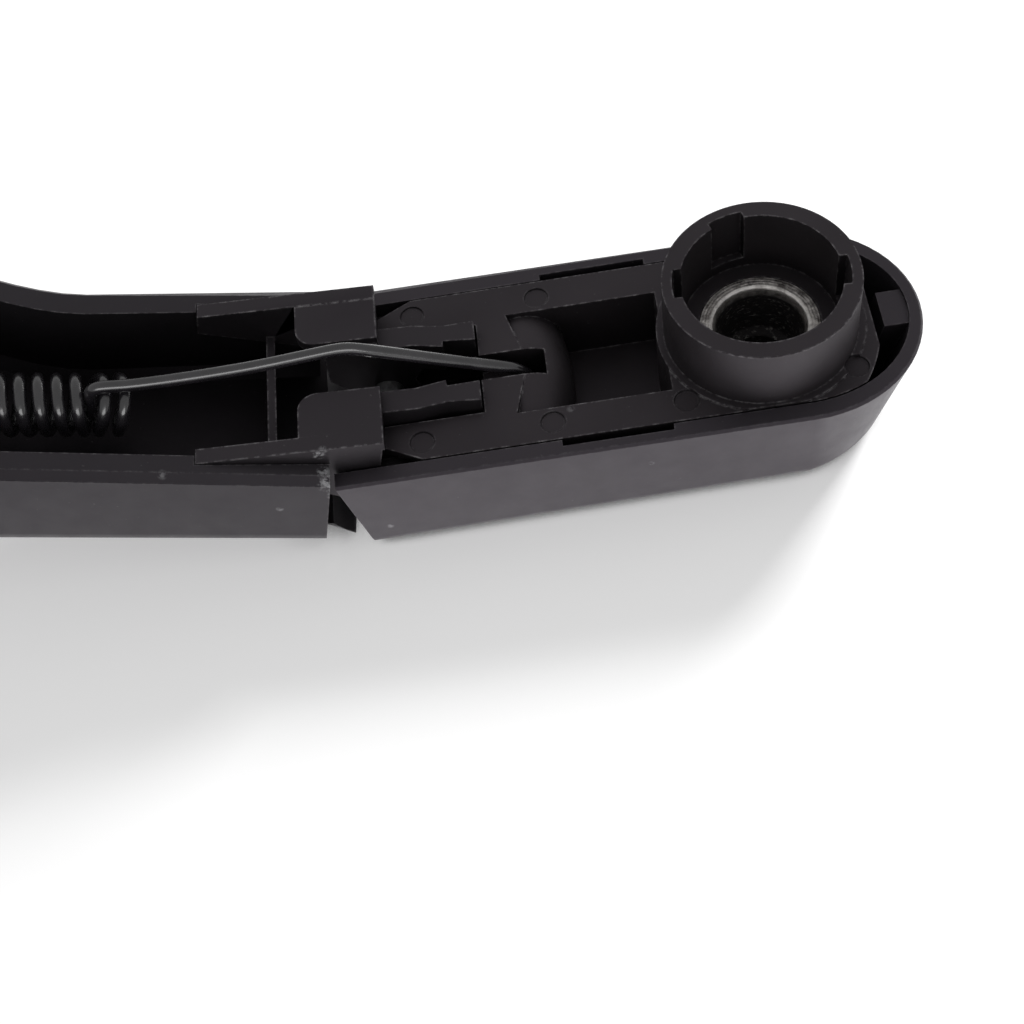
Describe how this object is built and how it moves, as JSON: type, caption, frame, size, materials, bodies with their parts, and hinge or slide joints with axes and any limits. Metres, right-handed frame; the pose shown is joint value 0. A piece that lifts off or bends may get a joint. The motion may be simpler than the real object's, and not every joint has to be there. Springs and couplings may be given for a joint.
{
  "type": "rear wiper arm",
  "caption": "Channel wiper arm hinged to a spindle mounting head, with a tension spring over the hinge, a clip-on head cover, a keyed spindle collar and a blade pin at the tip.",
  "frame": {"origin": "on the spindle axis, at the mouth face of the steel insert inside the collar", "axes": "+Z along the spindle axis out of the collar's mouth (the underside, towards the glass), +X from the hinge to the head's rounded end, the arm reaches out along -X, +Y to the side that the arm steps towards"},
  "size_m": [0.3027, 0.0479, 0.07],
  "materials": {
    "moulded_plastic": "fine-grained matte black moulding",
    "head_plastic": "smooth matte black moulding with ejector marks",
    "bracket_plastic": "matte black moulding, scuffed along its outer edges",
    "worn_steel": "turned steel, worn bright at the lip",
    "pin_steel": "drawn steel",
    "black_wire": "gloss black coated spring wire"
  },
  "bodies": {
    "head": {"mounting_head": "head_plastic", "hub_insert": "worn_steel", "hinge_pin": "pin_steel"},
    "arm": {"arm": "moulded_plastic", "hinge_bracket": "bracket_plastic", "tension_spring": "black_wire", "blade_pin": "pin_steel"},
    "cover": {"head_cover": "moulded_plastic"}
  },
  "joints": [
    {"name": "arm_hinge", "type": "hinge", "parent": "head", "child": "arm", "pos_m": [-0.06, 0, -0.008], "axis": [0, -1, 0], "range_deg": [0, 50], "stiffness_Nm_per_rad": 1.2, "springref_deg": -45.84, "deforming": ["tension_spring"]},
    {"name": "cover_lift", "type": "slide", "parent": "head", "child": "cover", "axis": [0, 0, -1], "range_m": [0, 0.03]}
  ]
}
